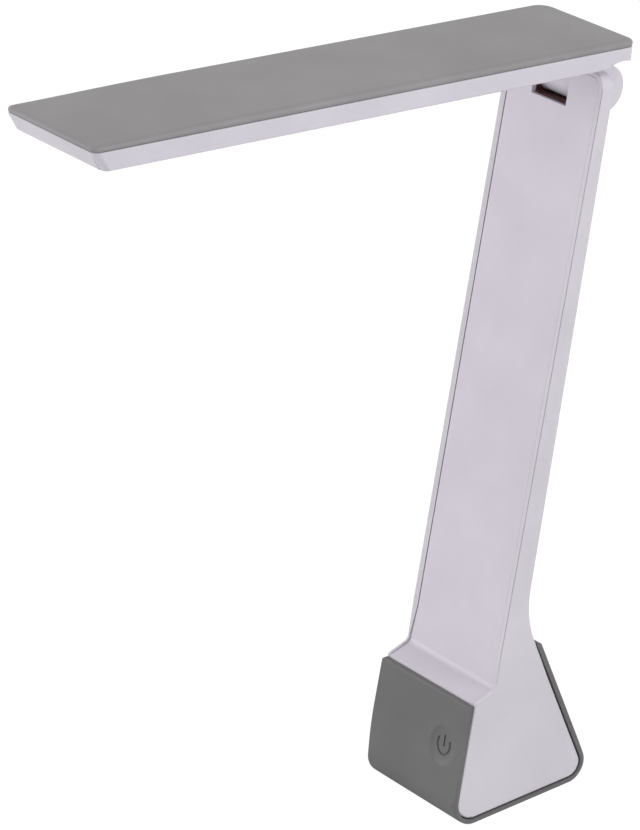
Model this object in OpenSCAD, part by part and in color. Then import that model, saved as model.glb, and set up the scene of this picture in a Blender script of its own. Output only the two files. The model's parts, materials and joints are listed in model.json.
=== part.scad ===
// Folding desk lamp. A wedge-shaped base carries a thin arm that leans back, and a flat
// light head folds down in front of the arm on one friction hinge.
// Millimetres, +Z up, the lamp faces -Y. The origin is the centre of the foot pad's underside.

/* [Base] */
// Width of the base and the arm
lamp_w = 60; // [56:0.5:68]
// Depth of the base between its sharp lower corners
base_d = 83.6; // [80:0.2:92]
// Height of the grey front panel, measured up its slope
front_len = 61.1; // [58:0.1:66]
// Distance of the grey back panel's top below the corner where the arm flares into the base
back_drop = 16.4; // [12:0.2:22]
// Lean of the back panel from upright, in degrees
back_lean = 22.6; // [20:0.2:24]
// Wall of the grey wrap
wrap_wall = 2.2; // [1.8:0.1:2.8]
// Outside radius of the wrap's lower back corner
wrap_corner_r = 9; // [7:0.5:11]
// Outside radius of the wrap's lower front corner
front_corner_r = 12; // [9:0.5:13]
// Radius along the sides of the front panel
wrap_edge_r = 2.4; // [1.5:0.1:3]
// Radius along the sides of the wrap's floor and back
floor_edge_r = 0.4; // [0.2:0.1:1]
// Height of the wrap's sides above the white cheeks
wrap_side = 0.5; // [0.2:0.1:1]
// Radius of the front panel's top edge
wrap_lip_r = 2.6; // [1.5:0.1:3]
// Gap between the wrap and the white body
wrap_gap = 0.3; // [0.2:0.05:0.5]
// Height of the foot pad below the wrap
pad_proud = 0.6; // [0.4:0.1:1.2]

/* [Arm] */
// Lean of the arm and the front panel from upright, in degrees
arm_lean = 11.25; // [9:0.25:13]
// Length from the base's lower front corner to the arm's top, up the slope
arm_len = 344.3; // [320:0.5:380]
// Depth of the step from the grey front panel back to the arm
front_step = 12.4; // [11.8:0.1:13.5]
// Thickness of the arm at its foot
arm_root_t = 11.9; // [10.5:0.1:14]
// Thickness of the arm at its top
arm_tip_t = 6.3; // [6.2:0.1:8]
// Wall of the white body
arm_wall = 1.6; // [1.4:0.1:2]
// Radius of the arm's top corners, seen from the front
arm_corner_r = 7.5; // [5:0.5:10]
// Radius of the hollow where the arm flares into the base
flare_r = 48; // [36:1:60]
// Thickness of the arm's front panel
panel_t = 2.2; // [1.8:0.1:2.4]
// Depth of the panel below its rim
panel_sunk = 0.8; // [0.4:0.1:1]
// Rise of the sloping ledge under the panel
ledge_rise = 6; // [4:0.25:8]

/* [Hinge] */
// Distance of the hinge axis below the arm's top
axis_drop = 9.8; // [9:0.1:11]
// Distance of the hinge axis behind the arm's front
axis_back = 11.9; // [11.5:0.1:12.5]
// Radius of the arm's two hinge barrels
barrel_r = 10.4; // [10.1:0.1:10.6]
// Width over the two hinge barrels
barrel_w = 43; // [41:0.5:44]
// Distance of the hinge's middle from the lamp's, towards the left
hinge_left = 1.5; // [0:0.1:2.5]
// Width of the slot for the head's drum
slot_w = 21.4; // [19:0.2:24]
// Radius of the head's drum
drum_r = 9; // [8.6:0.1:9.2]
// Radius of the hinge pin
pin_r = 2; // [1.5:0.1:2.2]
// Radial running clearance of the pin
pin_clear = 0.05; // [0.02:0.01:0.1]
// Thickness of a barrel's bearing wall
bearing_t = 3; // [2:0.1:3.4]

/* [Head] */
// Tilt of the opened head above level, in degrees
head_tilt = 4.37; // [0:0.01:10]
// Distance of the head's sides in from the arm's sides
head_in = 0.8; // [0:0.1:2.8]
// Length of the head behind the hinge axis
head_rear = 6.3; // [5.5:0.1:7]
// Distance from the hinge axis to the head's underside
head_lift = 12.5; // [12.3:0.1:13.2]
// Depth of the white head tray
tray_d = 8.1; // [7:0.1:9.4]
// Thickness of the grey head cover
cover_t = 4; // [3.6:0.1:4.8]
// Radius round the cover's top edge
cover_edge_r = 3; // [2:0.1:3.4]
// Drop of the cover's top at its free end
tip_drop = 1; // [0:0.1:1.4]
// Length over which the cover's top drops to its free end
tip_ease = 60; // [30:5:100]
// Wall of the head's two shells
head_wall = 1.6; // [1.3:0.1:1.8]
// Undercut of the tray's free end
tip_undercut = 5.4; // [3:0.1:7]
// Gap between the folded head and the base's front panel
fold_gap = 1.1; // [0.8:0.1:2]
// Distance of the light window from the head's sides
window_side = 6.2; // [5.4:0.1:10]
// Number of light chips along the head
led_count = 14; // [8:1:20]

/* [Inside] */
// Width of the touch dish
dish_d = 18; // [14:0.5:20]
// Depth of the touch dish
dish_depth = 1; // [0.6:0.1:1.2]
// Distance of the dish's centre from the lamp's side
dish_side = 13.5; // [12:0.5:16]
// Distance of the dish's centre below the front panel's top
dish_drop = 25.1; // [22:0.1:29]
// Thickness of the steel ballast plate
ballast_t = 8; // [5:0.5:9]
// Thickness of the battery
cell_t = 10; // [6:0.5:11]
// Room behind the battery, measured from the base's lower back corner
cell_room = 26.3; // [25.3:0.1:30]
// Room at each end of the battery, measured from the lamp's sides
cell_side = 5; // [4.5:0.1:10]
// Thickness of the circuit boards
board_t = 1.6; // [1:0.1:1.8]
// Radius of the cables
cable_r = 0.8; // [0.5:0.1:0.85]
// Height of the charging socket up the back panel
socket_up = 24; // [20:0.5:30]

/* [Hidden] */

$fn = 72;
arc_step = 5;

// Steps of a rounded edge, sides of a wire and a cable, and steps between a cable's points
edge_steps = 4;
wire_sides = 6;
cable_sides = 8;
cable_steps = 6;
core_apart_share = 1.1;

over = 1;
seat_gap = 0.3;
slip = 0.1;

// Base, worked out
inset = wrap_wall + wrap_gap;
wrap_half = lamp_w / 2 + wrap_side;
inner_half = lamp_w / 2 - arm_wall;
floor_z = pad_proud + wrap_wall;
end_r = 1.6;
pad_side = 13;
pad_end = 16.8;
pad_w = lamp_w - pad_side * 2;
pad_len = base_d - pad_end * 2;
pad_corner_r = 5;
pad_depth = 0.8;

// Base screws, in towers at the four corners of the floor
screw_r = 1.2;
screw_head_r = 2.4;
screw_head_t = 1.6;
screw_len = 10;
screw_clear = 0.12;
tower_r = 4;
tower_h = 3.4;
tower_wall = 1.4;
boss_r = 3.2;
boss_h = 12;
boss_in = 4.4;
boss_x = inner_half - boss_in;
boss_front_share = 0.53;
boss_back_share = 0.57;
boss_ys = [-base_d / 2 * boss_front_share, base_d / 2 * boss_back_share];

// Arm, worked out
rim_a = front_len + ledge_rise;
ledge_lip = 0.25;
ledge_fillet = 3.4;
top_edge_r = 1.5;
top_back_r = 3.2;
panel_seat = front_step + panel_sunk + panel_t;
panel_shelf = 1;
panel_lip = 6;
rim_w = arm_wall;
back_len = norm(flare(0) - back_pt(0, inset)) - back_drop;
axis_a = arm_len - axis_drop;
axis_b = front_step + axis_back;
drum_gap = 0.4;
slot_step = 0.4;
floor_a = axis_a - drum_r - drum_gap;
slot_a = floor_a - slot_step;
slot_half = slot_w / 2;
slot_wall = 1.4;
cradle_turn = 30;
web_in = 0.1;

// Hinge, worked out
cap_t = 1.6;
cap_edge = 0.5;
well_r = 4.6;
washer_t = 0.4;
washer_r = 5;
drum_half = slot_half - washer_t - slip;
well_x = slot_half + bearing_t;
cap_x = barrel_w / 2 - cap_t;
spring_t = 0.45;
spring_r = 3.9;
nut_t = 2;
nut_r = 3.6;
pin_head_r = 3.6;
pin_head_t = 1.2;
pin_end = 0.3;
spigot_len = 1.2;
spigot_t = 0.5;
groove_w = 4;
core_r = 4;
drum_skin = 1.2;
cable_turn = 40;

// Head, worked out
head_w = lamp_w - head_in * 2;
window_w = head_w - window_side * 2;
part_w = head_lift + tray_d;
top_w = part_w + cover_t;
tip_v = front_len + fold_gap - axis_a;
tray_in = 0.35;
tray_half = head_w / 2 - tray_in;
tip_corner_r = 3;
rear_corner_r = 4;
tray_edge_r = 0.6;
lens_r = 1.2;
tip_share = (cover_t - tip_drop) / cover_t;
corner_a = axis_drop - top_edge_r;
corner_b = axis_back - top_edge_r;
scoop_clear = 0.45;
scoop_r = norm([corner_a, corner_b]) + top_edge_r + scoop_clear;
neck_front = drum_r;
neck_back = head_rear - tray_in;
window_tip = 14;
window_rear = 46;
window_r = 4;
window_v = [tip_v + tip_undercut + window_tip, -window_rear];
lens_flange = 1.6;
lens_t = 1.2;
led_margin = 7;
led_side = 5;
led_board_w = window_w - led_side * 2;
led_l = 3.5;
led_w = 2.8;
led_t = 0.8;
led_in = 8;
led_row = led_board_w - led_in * 2;
led_post_r = 2.6;
led_post_in = 12;
led_board_low = part_w + seat_gap;
led_hole_top = part_w + (cover_t - head_wall) * tip_share + screw_r / 2;

// Electronics in the base
board_b = 9.4;
board_side = 7;
board_drop = 7.1;
board_w = lamp_w - board_side * 2;
board_low = 14;
board_high = front_len - board_drop;
dish_x = lamp_w / 2 - dish_side;
dish_up = front_len - dish_drop;
post_r = 2.4;
post_in = 4;
board_screw_r = 0.9;
board_head_r = 1.9;
board_head_t = 1.1;
board_screw_len = 5;
chip_w = 5;
chip_l = 7;
chip_t = 1.6;
coil_w = 6;
coil_t = 3;
can_r = 2.5;
can_h = 3.6;
plug_w = 6;
plug_d = 4;
plug_h = 4.5;
lead_in = 13;
lead_x = board_w / 2 - lead_in;
plug_a = board_high - plug_h;
spring_wire_r = 0.3;
spring_coil_r = 3.2;
spring_turns = 5;
spring_steps = 16;
dish_wall = 1.2;
dish_sides = 144;
pad_t = 0.8;
cell_len = lamp_w - cell_side * 2;
cell_r = 4.2;
stud_r = 3;
stud_clear = 0.3;
stud_head_r = 4;
stud_head_t = 1.5;
ballast_side = 3;
ballast_by_tower = 1.5;
ballast_room = 3.15;
ballast_x = lamp_w / 2 - ballast_side;
ballast_narrow_x = boss_x - tower_r - ballast_by_tower;
ballast_y = base_d / 2 * boss_front_share - tower_r - ballast_room;
ballast_front_y = front_foot(wrap_wall).x + (front_corner_r - wrap_wall) / tan(45 - arm_lean / 2) + over;
ballast_back_y = back_foot(wrap_wall).x - (wrap_corner_r - wrap_wall) / tan(45 - back_lean / 2) - over;
ballast_r = 2;
stud_in = 5.6;
stud_ys = [ballast_front_y + stud_in, ballast_back_y - stud_in];
cell_front_y = stud_ys[0] + stud_head_r + seat_gap;
cell_back_y = base_d / 2 - cell_room;
cell_w = cell_back_y - cell_front_y;
cell_y = (cell_front_y + cell_back_y) / 2;

socket_w = 7.6;
socket_h = 2.7;
socket_len = 5.6;
socket_r = 0.9;
socket_wall = 0.35;
socket_sunk = 1;
socket_recess = 1.6;
charge_w = 14;
charge_len = 9.5;
charge_t = 1;
rail_w = 1.6;
rail_h = 4;

// Unit vector along v
function unit(v) = v / norm(v);
// Angle a brought to within half a turn
function turned(a) = a > 180 ? a - 360 : a <= -180 ? a + 360 : a;
// Corner p between the points a and b, as an arc of radius r
function corner(a, p, b, r) =
    r == 0 ? [p] :
    let(u = unit(a - p), v = unit(b - p), half = acos(u * v) / 2)
    let(c = p + unit(u + v) * r / sin(half))
    let(s = p + u * r / tan(half) - c, e = p + v * r / tan(half) - c)
    let(from = atan2(s.y, s.x), sweep = turned(atan2(e.y, e.x) - from))
    let(n = max(2, ceil(abs(sweep) / arc_step)))
    [for (i = [0:n]) c + r * [cos(from + sweep * i / n), sin(from + sweep * i / n)]];
// Closed outline through corners given as [x, y, radius]
function rounded(p) = [for (i = [0:len(p) - 1])
    let(n = len(p), a = p[(i + n - 1) % n], q = p[i], b = p[(i + 1) % n])
    each corner([a.x, a.y], [q.x, q.y], [b.x, b.y], q.z)];
// Point p with a corner radius r
function at(p, r = 0) = [p.x, p.y, r];
// Where the line from p along d meets the line from q along e
function meet(p, d, q, e) = p + d * cross(q - p, e) / cross(d, e);

// Side view points [y, z]: a up the front slope and b back from it
function arm_pt(a, b) = [-base_d / 2 + a * sin(arm_lean) + b * cos(arm_lean),
    pad_proud + a * cos(arm_lean) - b * sin(arm_lean)];
// Side view points: c up the back slope and e in from it
function back_pt(c, e) = [base_d / 2 - c * sin(back_lean) - e * cos(back_lean),
    pad_proud + c * cos(back_lean) - e * sin(back_lean)];
// Lower corners of the base's outline moved in by t
function front_foot(t) = arm_pt(t * (1 + sin(arm_lean)) / cos(arm_lean), t);
function back_foot(t) = back_pt(t * (1 + sin(back_lean)) / cos(back_lean), t);
// Thickness of the arm at the height a
function arm_t(a) = arm_root_t + (arm_tip_t - arm_root_t) * (a - rim_a) / (arm_len - rim_a);
// Arm's back line moved in by t, and where it meets the base's back line
function arm_back(a, t) = arm_pt(a, front_step + arm_t(a) - t);
function flare(t) = meet(arm_back(rim_a, t), arm_back(arm_len, t) - arm_back(rim_a, t),
    back_pt(0, inset + t), back_pt(base_d, 0) - back_pt(0, 0));
axis_pt = arm_pt(axis_a, axis_b);

// Side profile [y, z] carried across the lamp, from -half to half
module across(half, p) {
    rotate([90, 0, 90])
        linear_extrude(height = 2 * half, center = true)
            polygon(p);
}

// Box from the corner lo to the corner hi
module block(lo, hi) {
    translate(lo)
        cube(hi - lo);
}

// Frame of the arm: Y is back from the front plane, Z is up the slope
module arm_frame() {
    translate([0, -base_d / 2, pad_proud])
        rotate([-arm_lean, 0, 0])
            children();
}

// Frame of the back panel: Y is out of the panel, Z is up the slope
module back_frame() {
    translate([0, base_d / 2, pad_proud])
        rotate([back_lean, 0, 0])
            children();
}

// Frame of the head: the hinge axis is X, the free end is -Y
module head_frame() {
    translate([0, axis_pt.x, axis_pt.y])
        rotate([-head_tilt, 0, 0])
            children();
}

// Frame of the hinge axis: Z runs along the axis
module hinge_frame() {
    translate([0, axis_pt.x, axis_pt.y])
        rotate([0, 90, 0])
            children();
}

// What belongs to the hinge, set off to the left
module hinge_place() {
    translate([-hinge_left, 0, 0])
        children();
}

// The same again, mirrored to the hinge's other end
module both_ends() {
    hinge_place()
        for (s = [0, 1])
            mirror([s, 0, 0])
                children();
}

// Rod of radius r along the hinge axis, from x0 to x1
module rod(r, x0, x1) {
    hinge_frame()
        translate([0, 0, x0])
            cylinder(r = r, h = x1 - x0);
}

// Peg along +Y, from y0 to y1
module peg(r, x, z, y0, y1) {
    translate([x, y0, z])
        rotate([-90, 0, 0])
            cylinder(r = r, h = y1 - y0);
}

// Slab with rounded corners, from z0 to z1
module slab(x0, x1, y0, y1, r, z0, z1) {
    translate([0, 0, z0])
        linear_extrude(height = z1 - z0)
            polygon(rounded([[x0, y0, r], [x1, y0, r], [x1, y1, r], [x0, y1, r]]));
}

// Point of the smooth curve through the points p, at the share t of the way from point i to the next
function spline_pt(p, i, t) =
    let(n = len(p) - 1, a = p[max(i - 1, 0)], b = p[i], c = p[i + 1], d = p[min(i + 2, n)])
    let(u = unit(c - a) * norm(c - b), v = unit(d - b) * norm(c - b))
    b * (1 + 2 * t) * pow(1 - t, 2) + u * t * pow(1 - t, 2)
        + c * (3 - 2 * t) * t * t + v * (t - 1) * t * t;
// Smooth path with k steps between the points p
function spline(p, k) = [for (i = [0:len(p) - 2], j = [0:k - 1]) spline_pt(p, i, j / k),
    p[len(p) - 1]];

// Round tube along a path, whose rings keep clear of the direction ref
module tube(path, r, sides, ref) {
    n = len(path);
    rings = [for (i = [0:n - 1])
        let(t = unit(path[min(i + 1, n - 1)] - path[max(i - 1, 0)]))
        let(u = unit(cross(t, ref)), v = cross(u, t))
        for (k = [0:sides - 1])
            path[i] + r * (u * cos(360 * k / sides) + v * sin(360 * k / sides))];
    walls = [for (i = [0:n - 2], k = [0:sides - 1])
        let(a = i * sides + k, b = i * sides + (k + 1) % sides)
        each [[a, b, b + sides], [a, b + sides, a + sides]]];
    start = [[for (k = [0:sides - 1]) sides - 1 - k]];
    finish = [[for (k = [0:sides - 1]) (n - 1) * sides + k]];
    polyhedron(points = rings, faces = concat(walls, start, finish));
}

// White body: cheeks of the base, side walls and back of the arm, and the hinge barrels
module arm_shell() {
    body = rounded([at(front_foot(inset), front_corner_r - inset),
        at(back_foot(inset), wrap_corner_r - inset), at(flare(0), flare_r),
        at(arm_back(arm_len, 0), top_back_r), at(arm_pt(arm_len, front_step), top_edge_r),
        at(arm_pt(rim_a, front_step), ledge_fillet), at(arm_pt(front_len + ledge_lip, inset))]);
    color("gainsboro")
    difference() {
        union() {
            difference() {
                intersection() {
                    across(lamp_w / 2, body);
                    arm_plan(lamp_w / 2, -base_d, arm_len, arm_corner_r);
                }
                arm_hollow();
            }
            barrels();
            slot_web();
            slot_cheeks();
            base_bosses();
            board_rails();
        }
        slot_cut();
        hinge_place()
            rod(pin_r + pin_clear, -cap_x - over, cap_x + over);
        both_ends()
            rod(well_r, well_x, cap_x + over);
        socket_hole();
    }
}

// Front view of the arm, as wide as half each side, with rounded top corners
module arm_plan(half, low, high, r) {
    arm_frame()
        translate([0, base_d + arm_len, 0])
            rotate([90, 0, 0])
                linear_extrude(height = base_d * 2 + arm_len)
                    polygon(rounded([[-half, low, 0], [half, low, 0], [half, high, r], [-half, high, r]]));
}

// Hollow of the white body, open to the front and the bottom
module arm_hollow() {
    near = arm_pt(-base_d, -over);
    floor_y = back_foot(inset + arm_wall).x;
    deep = rounded([at(near), at([floor_y, near.y]), at(back_foot(inset + arm_wall)),
        at(flare(arm_wall), flare_r), at(arm_back(arm_len, arm_wall)), at(arm_pt(arm_len, -over))]);
    wide = [near, [floor_y - panel_shelf, near.y], back_foot(inset + arm_wall + panel_shelf),
        back_pt(back_len - inset, inset + arm_wall + panel_shelf), arm_pt(rim_a, panel_seat),
        arm_pt(arm_len, panel_seat), arm_pt(arm_len, -over)];
    top = arm_len - rim_w;
    intersection() {
        across(lamp_w / 2, deep);
        arm_plan(inner_half - panel_shelf, -base_d, top - panel_shelf, arm_corner_r - rim_w - panel_shelf);
    }
    intersection() {
        across(lamp_w / 2, wide);
        arm_plan(inner_half, -base_d, top, arm_corner_r - rim_w);
    }
}

// Room for the head's neck through the arm's top, round below the drum
module slot_cut() {
    r = drum_r + drum_gap;
    out = barrel_r + over;
    hollow_b = (panel_seat + front_step + arm_t(slot_a) - arm_wall) / 2;
    under = [for (turn = [0:arc_step:cradle_turn]) arm_pt(axis_a - r * cos(turn), axis_b + r * sin(turn))];
    low = axis_a - out * cos(cradle_turn);
    hinge_place()
        across(slot_half, concat([arm_pt(arm_len + over, -over), arm_pt(slot_a, -over),
            arm_pt(slot_a, hollow_b), arm_pt(floor_a, hollow_b)], under,
            [arm_pt(low, axis_b + out * sin(cradle_turn)), arm_pt(low, axis_b + out),
                arm_pt(arm_len + over, axis_b + out)]));
}

// Two barrels that carry the pin behind the front panel, joined by the cradle below the drum
module barrels() {
    intersection() {
        hinge_place()
            rod(barrel_r, -cap_x, cap_x);
        arm_frame()
            block([-lamp_w, panel_seat + slip * 2, 0], [lamp_w, axis_b + barrel_r + over, arm_len]);
    }
}

// Web from the arm's back wall to the cradle
module slot_web() {
    half = slot_half + slot_wall / 2;
    from = front_step + arm_t(slot_a) - arm_wall / 2;
    hinge_place()
        arm_frame()
            block([-half, from, axis_a - barrel_r + web_in], [half, axis_b, floor_a - web_in]);
}

// Walls that close the arm's hollow beside the slot, each with a short foot below it
module slot_cheeks() {
    low = slot_a - slot_wall;
    top = arm_len - arm_wall / 2;
    intersection() {
        across(lamp_w / 2, rounded([at(arm_pt(low, panel_seat + slip)),
            at(arm_back(low, arm_wall / 2)), at(arm_back(top, arm_wall / 2), top_back_r - arm_wall / 2),
            at(arm_pt(top, panel_seat + slip))]));
        both_ends()
            arm_frame()
                block([slot_half - slot_wall, 0, 0], [slot_half + slot_wall, axis_b, arm_len]);
    }
}

// Bosses inside the cheeks that take the base screws
module base_bosses() {
    for (s = [0, 1], y = boss_ys)
        mirror([s, 0, 0])
            difference() {
                union() {
                    translate([boss_x, y, pad_proud + tower_h])
                        cylinder(r = boss_r, h = boss_h);
                    block([boss_x, y - boss_r / 2, pad_proud + tower_h],
                        [inner_half + arm_wall / 2, y + boss_r / 2, pad_proud + tower_h + boss_h]);
                }
                translate([boss_x, y, pad_proud])
                    cylinder(r = screw_r + screw_clear, h = tower_h + screw_len);
            }
}

// Rails on the back wall that hold the charging board by its edges
module board_rails() {
    mid = socket_up - socket_h / 2 - charge_t / 2;
    for (s = [0, 1])
        mirror([s, 0, 0])
            back_frame()
                difference() {
                    block([charge_w / 2 - rail_w / 2, -inset - arm_wall - charge_len, mid - rail_h / 2],
                        [charge_w / 2 + rail_w, -inset - arm_wall / 2, mid + rail_h / 2]);
                    block([0, -base_d, mid - charge_t / 2], [charge_w / 2 + slip, 0, mid + charge_t / 2]);
                }
}

// Hole for the socket in the back wall of the white body
module socket_hole() {
    back_frame()
        block([-socket_w / 2 - socket_recess, -inset - arm_wall - over,
            socket_up - socket_h - socket_recess / 2],
            [socket_w / 2 + socket_recess, 0, socket_up + socket_h / 2 + socket_recess]);
}

// Front panel of the arm with the ledge below it and a clip behind the wrap's front
module arm_panel() {
    half = inner_half - slip;
    top = arm_len - rim_w - slip;
    face = front_step + panel_sunk;
    low = front_len + ledge_lip - panel_sunk / 2;
    clip_a = front_len - panel_lip;
    sheet = rounded([at(arm_pt(top, face)), at(arm_pt(top, face + panel_t)),
        at(arm_pt(rim_a - panel_t, face + panel_t)), at(arm_pt(low - panel_t, inset + panel_t)),
        at(arm_pt(clip_a, inset + panel_t)), at(arm_pt(clip_a, inset)), at(arm_pt(low, inset)),
        at(arm_pt(rim_a - panel_sunk, face), ledge_fillet)]);
    color("whitesmoke")
    difference() {
        intersection() {
            across(half, sheet);
            arm_plan(half, -base_d, top, arm_corner_r - rim_w - slip);
        }
        hinge_place()
            arm_frame()
                block([-slot_half, -over, slot_a], [slot_half, axis_b, arm_len + over]);
    }
}

// Side outline of the grey wrap: front, floor and back as one bent strip
function wrap_outline() = rounded([at(front_foot(0), front_corner_r), at(back_foot(0), wrap_corner_r),
    at(back_pt(back_len, 0), end_r), at(back_pt(back_len, wrap_wall)),
    at(back_foot(wrap_wall), wrap_corner_r - wrap_wall),
    at(front_foot(wrap_wall), front_corner_r - wrap_wall), at(arm_pt(front_len, wrap_wall)),
    at(arm_pt(front_len, 0), wrap_lip_r - slip)]);

// How far an edge of radius r lies in where it is h from its side
function sunk(r, h) = h >= r ? 0 : r - sqrt(r * r - pow(r - h, 2));

// Solid wedge that lies h in from the wrap's sides, where its edges are rounded
module wedge_slice(h) {
    t = sunk(wrap_edge_r, h);
    u = sunk(floor_edge_r, h);
    foot = arm_pt((u + t * sin(arm_lean)) / cos(arm_lean), t);
    across(wrap_half - h, rounded([at(foot, front_corner_r - t), at(back_foot(u), wrap_corner_r - u),
        at(back_pt(back_len + base_d, u)), at(arm_pt(front_len + base_d, t))]));
}

// Grey wrap with the touch dish, screw towers, board posts and socket hole
module base_wrap() {
    color("dimgray")
    difference() {
        union() {
            intersection() {
                across(wrap_half, wrap_outline());
                hull()
                    for (r = [wrap_edge_r, floor_edge_r], k = [0:edge_steps])
                        wedge_slice(r * (1 - sin(90 * k / edge_steps)));
            }
            screw_towers();
            arm_frame()
                wrap_posts();
            ballast_studs();
        }
        arm_frame()
            translate([dish_x, dish_depth - dish_sphere_r(), dish_up])
                sphere(r = dish_sphere_r(), $fn = dish_sides);
        tower_holes();
        slab(-pad_w / 2 - slip, pad_w / 2 + slip, -pad_len / 2 - slip, pad_len / 2 + slip, pad_corner_r,
            -over, pad_proud + pad_depth);
        back_frame() {
            socket_slot(socket_recess, -socket_sunk, over);
            socket_slot(seat_gap, -wrap_wall - over, over);
        }
    }
}

// Radius of the sphere that cuts the touch dish
function dish_sphere_r() = (pow(dish_d / 2, 2) + pow(dish_depth, 2)) / (2 * dish_depth);

// Towers on the wrap's floor that the screw heads sink into
module screw_towers() {
    for (s = [0, 1], y = boss_ys)
        mirror([s, 0, 0])
            translate([boss_x, y, pad_proud + wrap_wall / 2])
                cylinder(r = tower_r, h = tower_h - wrap_wall / 2);
}

// Counterbore and clearance hole of each tower
module tower_holes() {
    for (s = [0, 1], y = boss_ys)
        mirror([s, 0, 0])
            translate([boss_x, y, 0]) {
                cylinder(r = screw_head_r + seat_gap, h = pad_proud + tower_h - tower_wall);
                cylinder(r = screw_r + screw_clear, h = pad_proud + tower_h + over);
            }
}

// Posts for the control board and the thick spot behind the touch dish
module wrap_posts() {
    for (x = board_post_xs(), a = board_post_as())
        difference() {
            peg(post_r, x, a, wrap_wall / 2, board_b);
            peg(board_screw_r + screw_clear, x, a, board_b - board_screw_len, board_b + over);
        }
    peg(dish_d / 2 + dish_wall, dish_x, dish_up, wrap_wall / 2, wrap_wall + dish_wall);
}

// Places of the board's four posts
function board_post_xs() = [-board_w / 2 + post_in, board_w / 2 - post_in];
function board_post_as() = [board_low + post_in, board_high - post_in];

// Studs on the wrap's floor that the ballast plate drops over
module ballast_studs() {
    for (y = stud_ys)
        difference() {
            translate([0, y, pad_proud + wrap_wall - pad_depth / 2])
                cylinder(r = stud_r, h = ballast_t + pad_depth / 2 - slip);
            translate([0, y, floor_z + slip])
                cylinder(r = screw_r + screw_clear, h = ballast_t);
        }
}

// Rounded slot of the socket, grown by g, from y0 to y1 in the back panel's frame
module socket_slot(g, y0, y1) {
    half_w = socket_w / 2 + g;
    half_h = socket_h / 2 + g;
    translate([0, y1, socket_up])
        rotate([90, 0, 0])
            linear_extrude(height = y1 - y0)
                polygon(rounded([[-half_w, -half_h, socket_r + g / 2], [half_w, -half_h, socket_r + g / 2],
                    [half_w, half_h, socket_r + g / 2], [-half_w, half_h, socket_r + g / 2]]));
}

// Rubber pad that the lamp stands on
module foot_pad() {
    color("#303030")
    slab(-pad_w / 2, pad_w / 2, -pad_len / 2, pad_len / 2, pad_corner_r, 0, pad_proud + pad_depth);
}

// Screw with its head below z = 0 and its shank above
module screw(r, len, head_r, head_t) {
    translate([0, 0, -head_t])
        cylinder(r = head_r, h = head_t);
    translate([0, 0, -head_t / 2])
        cylinder(r = r, h = len + head_t / 2);
}

// Four screws that hold the wrap to the white body
module base_screws() {
    color("silver")
    for (s = [0, 1], y = boss_ys)
        mirror([s, 0, 0])
            translate([boss_x, y, pad_proud + tower_h - tower_wall])
                screw(screw_r, screw_len, screw_head_r, screw_head_t);
}

// Steel plate that keeps the lamp from tipping, narrow beside the screw towers
module ballast_plate() {
    color("slategray")
    difference() {
        union() {
            slab(-ballast_x, ballast_x, -ballast_y, ballast_y, ballast_r, floor_z, floor_z + ballast_t);
            slab(-ballast_narrow_x, ballast_narrow_x, ballast_front_y, ballast_back_y, ballast_r,
                floor_z, floor_z + ballast_t);
        }
        for (y = stud_ys)
            translate([0, y, 0])
                cylinder(r = stud_r + stud_clear, h = floor_z + ballast_t + over);
    }
}

// Two screws that clamp the ballast plate to its studs
module ballast_screws() {
    color("silver")
    for (y = stud_ys)
        translate([0, y, floor_z + ballast_t])
            mirror([0, 0, 1])
                screw(screw_r, ballast_t - over, stud_head_r, stud_head_t);
}

// Foam pad between the ballast plate and the battery
module battery_pad() {
    color("dimgray")
    slab(-cell_len / 2, cell_len / 2, cell_y - cell_w / 2, cell_y + cell_w / 2, ballast_r,
        floor_z + ballast_t, floor_z + ballast_t + pad_t);
}

// Flat lithium cell with round long edges
module battery_cell() {
    low = floor_z + ballast_t + pad_t;
    y0 = cell_y - cell_w / 2;
    y1 = cell_y + cell_w / 2;
    color("steelblue")
    across(cell_len / 2, rounded([[y0, low, cell_r], [y1, low, cell_r], [y1, low + cell_t, cell_r],
        [y0, low + cell_t, cell_r]]));
}

// Control board on its four posts behind the front panel
module control_board() {
    color("seagreen")
    arm_frame()
        difference() {
            block([-board_w / 2, board_b, board_low], [board_w / 2, board_b + board_t, board_high]);
            for (x = board_post_xs(), a = board_post_as())
                peg(board_screw_r + screw_clear, x, a, board_b - over, board_b + board_t + over);
        }
}

// Four screws of the control board
module board_screws() {
    color("silver")
    arm_frame()
        for (x = board_post_xs(), a = board_post_as()) {
            peg(board_head_r, x, a, board_b + board_t, board_b + board_t + board_head_t);
            peg(board_screw_r, x, a, board_b + slip - board_screw_len, board_b + board_t + board_head_t / 2);
        }
}

// Chip, inductor, capacitors and wire plugs on the back of the control board
module board_parts() {
    face = board_b + board_t;
    mid = (board_low + board_high) / 2;
    color("#202428")
    arm_frame() {
        block([-chip_l / 2, face, mid - chip_w / 2], [chip_l / 2, face + chip_t, mid + chip_w / 2]);
        block([chip_l, face, mid - coil_w / 2], [chip_l + coil_w, face + coil_t, mid + coil_w / 2]);
        for (k = [0, 1])
            peg(can_r, -chip_l - can_r, mid - can_r + k * can_r * 3, face, face + can_h);
        for (x = [-lead_x, lead_x])
            block([x - plug_w / 2, face, plug_a], [x + plug_w / 2, face + plug_d, plug_a + plug_h]);
        block([-plug_w / 2, face, board_low + post_in - plug_h / 2],
            [plug_w / 2, face + plug_d, board_low + post_in + plug_h / 2]);
    }
}

// Coil spring that carries the touch signal from the dish to the board
module touch_spring() {
    y0 = wrap_wall + dish_wall + spring_wire_r;
    y1 = board_b - spring_wire_r;
    n = spring_turns * spring_steps;
    color("goldenrod")
    arm_frame()
        tube([for (i = [0:n]) [dish_x + spring_coil_r * cos(360 * i / spring_steps),
            y0 + (y1 - y0) * i / n, dish_up + spring_coil_r * sin(360 * i / spring_steps)]],
            spring_wire_r, wire_sides, [0, 1, 0]);
}

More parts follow.
